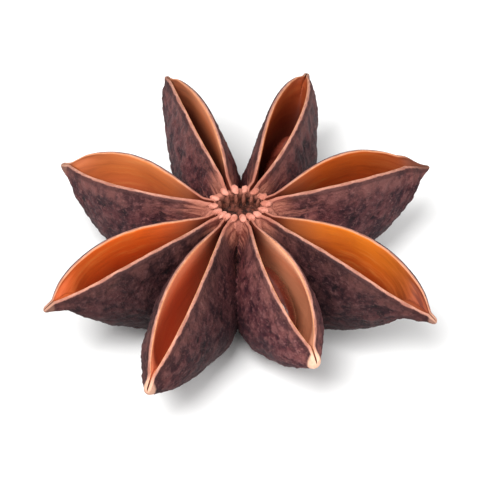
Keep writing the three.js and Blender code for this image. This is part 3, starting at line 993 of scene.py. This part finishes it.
def lip_colour(shader, at):
    """The lips: thin and pale, tan towards the hollow, pearly on the beads and horny on the beaks."""
    layer, mix, step, times = shader.layer, shader.mix, shader.step, shader.times
    pale = layer(LIP_DARK, LIP_LIGHT, at.edge, 0.35, 0.65)
    pale = layer(pale, LIP_NEAR_RING, at.radius, 5.5, 3.2, 0.8)
    inner_side = times(step(at.rim, 0.05, -0.05, 0.0, 0.75), step(at.radius, 3.5, 6.5))
    pale = mix(inner_side, pale, TAN)
    pearl = layer(PEARL_DARK, PEARL_LIGHT, at.edge, 0.38, 0.62)
    pale = layer(pale, pearl, at.bead, 0.6, 1.0)
    horn = layer(HORN_DARK, HORN_LIGHT, at.edge, 0.4, 0.6)
    horn = mix(at.tip, horn, HORN_PALE)
    return mix(at.end, pale, horn)


def pod_material():
    """Woody skin, pale lips and beaks, a glossy orange lining, a granular pit and a rough stalk scar."""
    shader = Shader("star_anise_pod")
    at = pod_fields(shader)
    layer, mix, step, times = shader.layer, shader.mix, shader.step, shader.times

    # Where the skin starts outside the lips, on a wandering line, and the lining inside them
    wander = times(shader.maths("SUBTRACT", at.edge, 0.5), 0.4)
    outside = step(shader.maths("ADD", at.rim, wander), 0.14, 0.28)
    pale_beak = times(step(at.end, 0.5, 1.0), at.tip)
    outside = times(outside, shader.maths("SUBTRACT", 1.0, pale_beak))
    inside = step(at.rim, -0.06, -0.18)

    colour = mix(outside, lip_colour(shader, at), skin_colour(shader, at))
    colour = mix(inside, colour, lining_colour(shader, at))
    pit = layer(PIT_DARK, PIT_LIGHT, at.grain, 0.35, 0.75)
    colour = mix(at.pit, colour, pit)
    scar = layer(SCAR_DARK, SCAR_LIGHT, at.grain, 0.35, 0.65)
    colour = mix(at.scar, colour, scar)

    rough = shader.between(inside, shader.between(outside, 0.5, 0.66), 0.36)
    rough = shader.maths("ADD", rough, times(at.mottle, 0.12))
    rough = shader.maths("ADD", rough, step(at.out, 0.65, 0.9, 0.0, 0.25))
    grainy = shader.bump(at.speck, 0.06, shader.bump(at.grain, 0.16))
    ribbed = shader.bump(at.fibre, 0.03)
    not_inside = shader.maths("SUBTRACT", 1.0, inside)
    normal = shader.node("Mix", {0: not_inside, 4: ribbed, 5: grainy}, 1, data_type="VECTOR")
    return shader.finish(colour, rough, normal, **{"Specular IOR Level": 0.22})


def seed_material():
    """A hard, glossy, red-brown seed coat, with a pale scar at the end where the seed hung."""
    shader = Shader("star_anise_seed")
    place = shader.place()
    cloud = shader.noise(place, 1.8, 4.0)
    fleck = shader.noise(place, 0.3, 3.0)
    hilum = shader.note("hilum")
    colour = shader.layer(COAT_DARK, COAT_LIGHT, cloud, 0.35, 0.65)
    colour = shader.layer(colour, COAT_FLECK, fleck, 0.56, 0.74, 0.3)
    colour = shader.mix(hilum, colour, HILUM)
    rough = shader.between(hilum, shader.step(cloud, 0.3, 0.7, 0.16, 0.26), 0.7)
    normal = shader.bump(shader.noise(place, 0.7, 3.0), 0.02)
    return shader.finish(colour, rough, normal, **{"Specular IOR Level": 0.55})


def floor_material():
    shader = Shader("pale_floor")
    place = shader.place()
    colour = shader.mix(shader.noise(place, 40.0, 2.0), FLOOR_DARK, FLOOR_LIGHT)
    return shader.finish(colour, 0.9, shader.bump(shader.noise(place, 2.0), 0.005))


# ---- Stage ----

FLOOR_HALF = 400  # half the floor's side, in millimetres
FLOOR_HEIGHT = -0.03  # just under the pod
VIEW_ELEVATION = 45  # degrees at which the photograph looks down on this pod, about
LENS = 400
SENSOR = 36
CLIP = (0.01, 10)  # the nearest and the farthest that the camera sees, in metres
FRAME_WIDTH = 42  # what the picture takes in at the pod, in millimetres
WORLD_STRENGTH = 0.55

# Square softboxes: azimuth (0 is the camera's side and 90 its right), elevation, distance, size, power
LIGHTS = {
    "key": (-35, 60, 0.4, 0.22, 2.0),
    "fill": (35, 40, 0.5, 0.35, 1.2),
}


def add_floor(collection):
    ways = [(-1, -1), (1, -1), (1, 1), (-1, 1)]
    corners = np.array([(FLOOR_HALF * x, FLOOR_HALF * y, FLOOR_HEIGHT) for x, y in ways])
    floor = add_object("floor", corners, [[0, 1, 2, 3]], collection)
    floor.data.materials.append(floor_material())


def add_camera(collection, centre):
    data = bpy.data.cameras.new("camera")
    data.lens = LENS
    data.sensor_width = SENSOR
    data.clip_start, data.clip_end = CLIP
    camera = bpy.data.objects.new("camera", data)
    distance = FRAME_WIDTH * MM * LENS / SENSOR
    tilt = math.radians(VIEW_ELEVATION)
    back = Vector((0, -math.cos(tilt), math.sin(tilt)))
    camera.location = centre + back * distance
    camera.rotation_euler = (math.radians(90 - VIEW_ELEVATION), 0, 0)
    collection.objects.link(camera)
    bpy.context.scene.camera = camera


def add_light(collection, centre, name, azimuth, elevation, distance, size, power):
    data = bpy.data.lights.new(name, "AREA")
    data.shape = "SQUARE"
    data.size = size
    data.energy = power
    light = bpy.data.objects.new(name, data)
    a, e = math.radians(azimuth), math.radians(elevation)
    back = Vector((math.sin(a) * math.cos(e), -math.cos(a) * math.cos(e), math.sin(e)))
    light.location = centre + back * distance
    light.rotation_mode = "QUATERNION"
    light.rotation_quaternion = back.to_track_quat("Z", "Y")
    collection.objects.link(light)


def add_studio(collection, centre):
    world = bpy.data.worlds.new("studio")
    world.use_nodes = True
    background = world.node_tree.nodes["Background"]
    background.inputs["Color"].default_value = (1.0, 1.0, 1.0, 1)
    background.inputs["Strength"].default_value = WORLD_STRENGTH
    bpy.context.scene.world = world
    for name, values in LIGHTS.items():
        add_light(collection, centre, name, *values)
    bpy.context.scene.view_settings.view_transform = "Standard"


# ---- The scene ----

stuff = bpy.context.scene.collection
centre = (cad_box[0] + cad_box[1]) / 2

pod = pod_piece(stuff)
pod.data.materials.append(pod_material())
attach(pod, "root")
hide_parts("pod")

coat = seed_material()
for node, (number, lean) in SEEDS.items():
    turn = math.radians(CARPELS[number].azimuth)
    seed = seed_piece(node + "_bean", node, turn, math.radians(lean), stuff)
    seed.data.materials.append(coat)
    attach(seed, "root")
    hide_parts(node)

add_floor(stuff)
add_camera(stuff, centre)
add_studio(stuff, centre)
